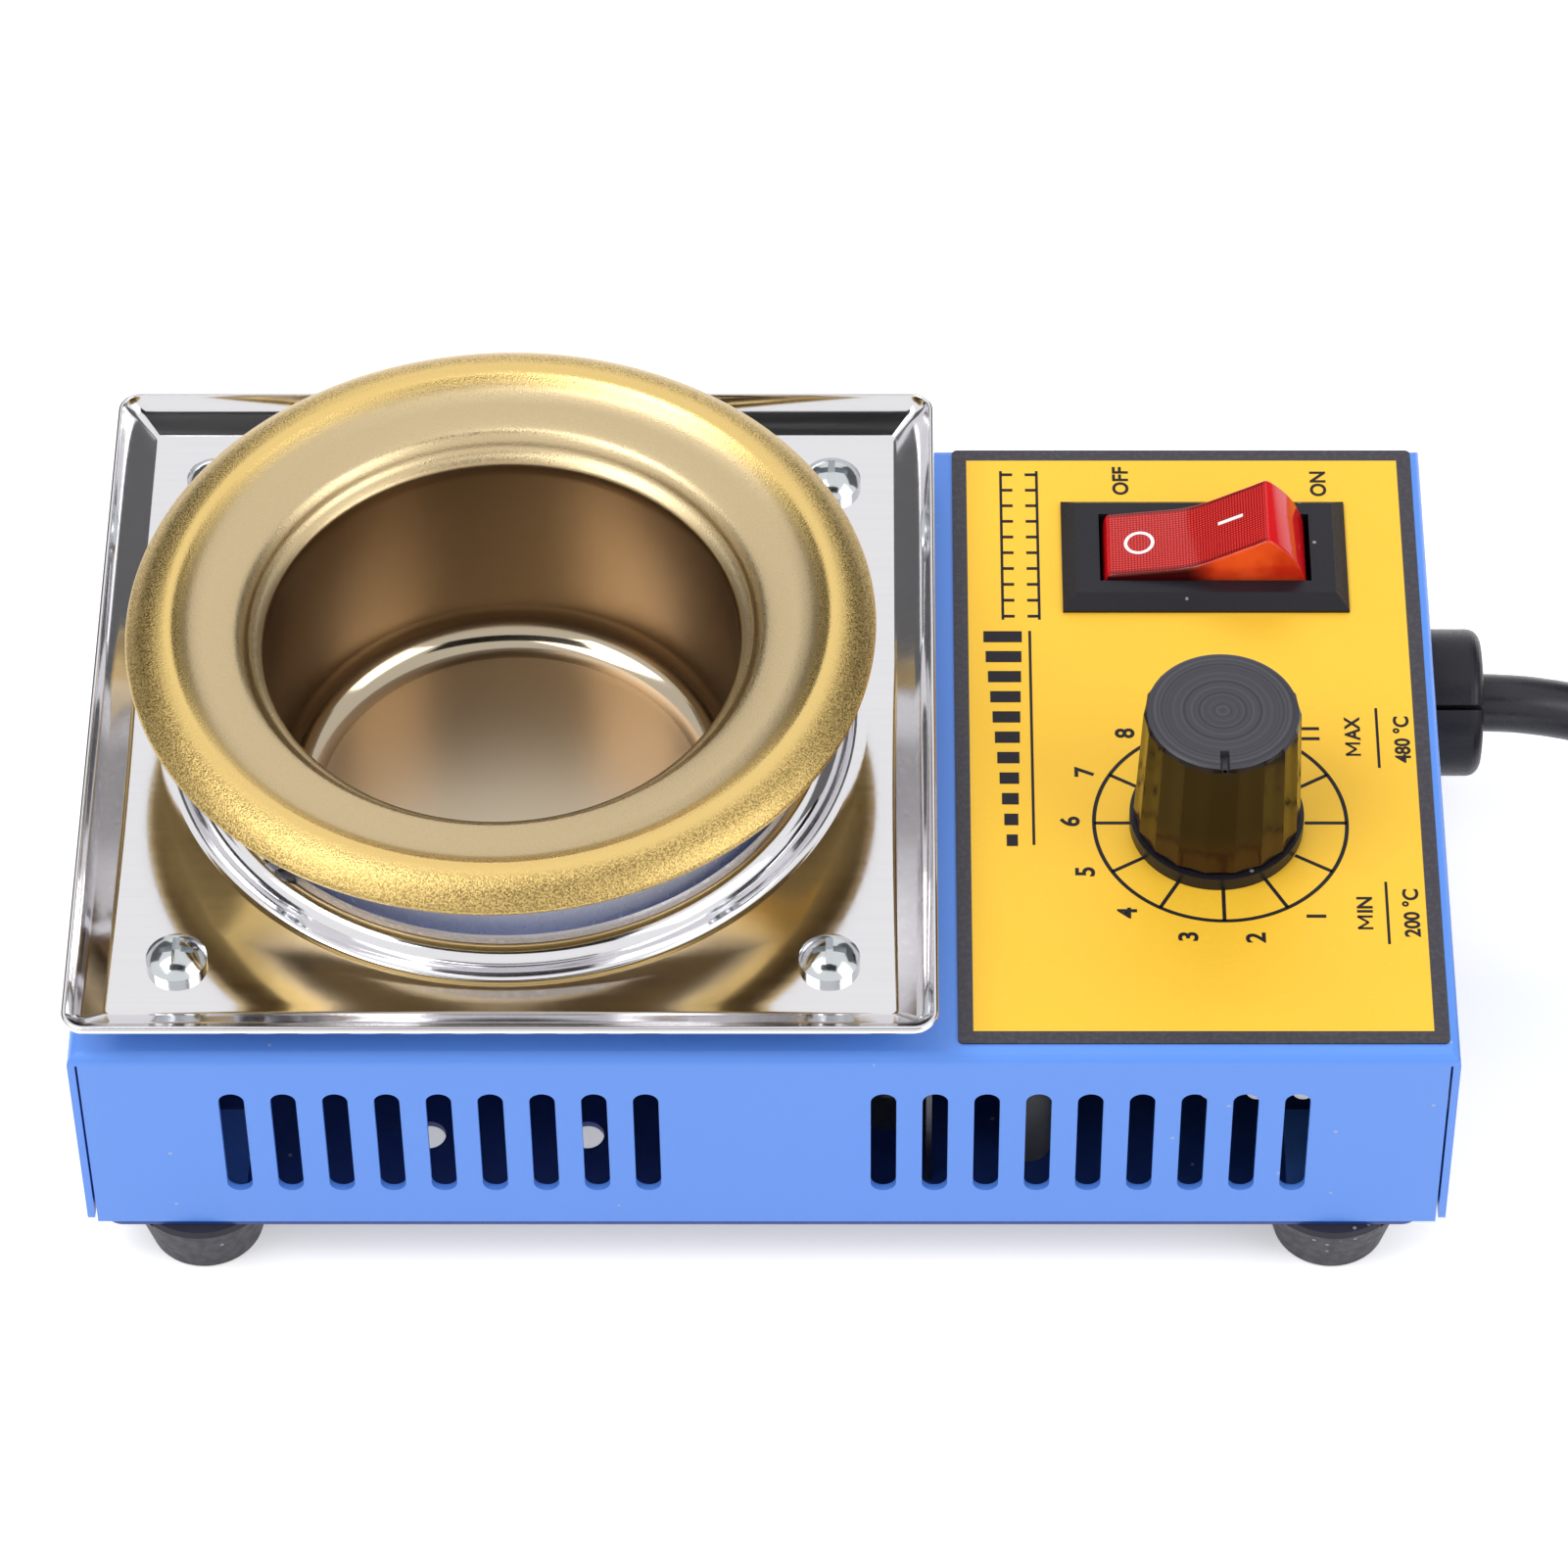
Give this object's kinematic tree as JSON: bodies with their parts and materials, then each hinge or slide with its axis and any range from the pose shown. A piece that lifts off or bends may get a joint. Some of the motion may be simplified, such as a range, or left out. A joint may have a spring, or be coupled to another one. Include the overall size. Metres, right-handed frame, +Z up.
{
  "type": "solder pot",
  "caption": "Bench solder pot: folded blue sheet case on rubber feet, steel drip tray with a heated crucible, rocker switch, numbered temperature dial, mains cord and plug.",
  "frame": {"origin": "On the table under the middle of the solder pot, measured without its cord.", "axes": "+X runs along the case from the crucible to the controls, +Y to the back, +Z up; the front with one of the two rows of slots is at -Y."},
  "size_m": [0.2859, 0.1158, 0.0584],
  "materials": {
    "case_paint": "satin cornflower-blue enamel on steel sheet",
    "base_paint": "darker blue enamel on steel sheet",
    "foot_rubber": "dark grey moulded rubber",
    "screw_steel": "bright zinc-plated steel",
    "tray_steel": "stainless sheet with a fine brushed, almost mirror finish",
    "crucible_steel": "coarse blasted golden flange, smooth brown-gold bore",
    "inner_steel": "plain galvanised sheet",
    "insulation": "pressed ceramic fibre board",
    "heater_steel": "polished stainless sheath",
    "label_film": "yellow printed film with a dark border",
    "black_plastic": "black moulded plastic",
    "white_plastic": "white moulded plastic",
    "red_plastic": "glossy translucent red plastic",
    "lamp_glass": "clear glass with an orange glow",
    "contact_brass": "plain brass",
    "knob_plastic": "smoky brown translucent plastic with a turned top",
    "board_laminate": "green lacquered laminate",
    "sink_aluminium": "plain extruded aluminium",
    "choke_copper": "lacquered copper winding",
    "resistor_tan": "tan lacquer",
    "fuse_glass": "clear glass tube",
    "porcelain": "glazed white porcelain",
    "brown_wire": "brown insulation",
    "blue_wire": "blue insulation",
    "green_wire": "green insulation",
    "lead_sleeve": "white glass-fibre sleeve",
    "cord_rubber": "black flexible cord jacket"
  },
  "bodies": {
    "base": {"case_cover": "case_paint", "base_plate": "base_paint", "foot_front_left": "foot_rubber", "foot_front_right": "foot_rubber", "foot_rear_left": "foot_rubber", "foot_rear_right": "foot_rubber", "foot_screws": "screw_steel", "drip_tray": "tray_steel", "tray_screws": "screw_steel", "tray_spacers": "screw_steel", "tray_nuts": "screw_steel", "crucible": "crucible_steel", "crucible_washer": "screw_steel", "crucible_nut": "screw_steel", "crucible_bracket": "inner_steel", "bracket_screws": "screw_steel", "insulation_disc": "insulation", "heater_band": "heater_steel", "clamp_screws": "screw_steel", "heat_shield": "inner_steel", "shield_screws": "screw_steel", "control_label": "label_film", "switch_housing": "black_plastic", "switch_terminals": "contact_brass", "dial_washer": "black_plastic", "potentiometer_body": "inner_steel", "potentiometer_nut": "screw_steel", "potentiometer_pins": "contact_brass", "control_board": "board_laminate", "board_posts": "white_plastic", "triac": "black_plastic", "heat_sink": "sink_aluminium", "film_capacitor": "red_plastic", "choke": "choke_copper", "resistors": "resistor_tan", "fuse_tube": "fuse_glass", "fuse_clips": "screw_steel", "terminal_block": "porcelain", "terminal_screws": "contact_brass", "live_wires": "brown_wire", "neutral_wire": "blue_wire", "earth_wire": "green_wire", "earth_screw": "screw_steel", "heater_leads": "lead_sleeve", "strain_relief_upper": "black_plastic", "strain_relief_lower": "black_plastic", "cord_lead": "cord_rubber", "cord_coil": "cord_rubber", "cord_tail": "cord_rubber", "cord_tie": "black_plastic", "plug_body": "cord_rubber", "plug_pins": "contact_brass"},
    "rocker": {"rocker": "red_plastic", "rocker_plunger": "white_plastic", "plunger_spring": "screw_steel", "neon_lamp": "lamp_glass"},
    "contact_lever": {"contact_lever": "contact_brass"},
    "knob": {"knob": "knob_plastic", "potentiometer_shaft": "white_plastic"}
  },
  "joints": [
    {"name": "rocker_tilt", "type": "hinge", "parent": "base", "child": "rocker", "pos_m": [0.0479, 0.0266, 0.036], "axis": [0, 1, 0], "range_deg": [0, 36]},
    {"name": "contact_tilt", "type": "hinge", "parent": "base", "child": "contact_lever", "pos_m": [0.0479, 0.0266, 0.0252], "axis": [0, 1, 0], "range_deg": [-20, 0]},
    {"name": "knob_turn", "type": "hinge", "parent": "base", "child": "knob", "pos_m": [0.048, -0.0116, 0.04], "axis": [0, 0, 1], "range_deg": [-226, 44]}
  ],
  "couplings": [
    {"joint": "contact_tilt", "follows": "rocker_tilt", "ratio": -0.5556}
  ]
}
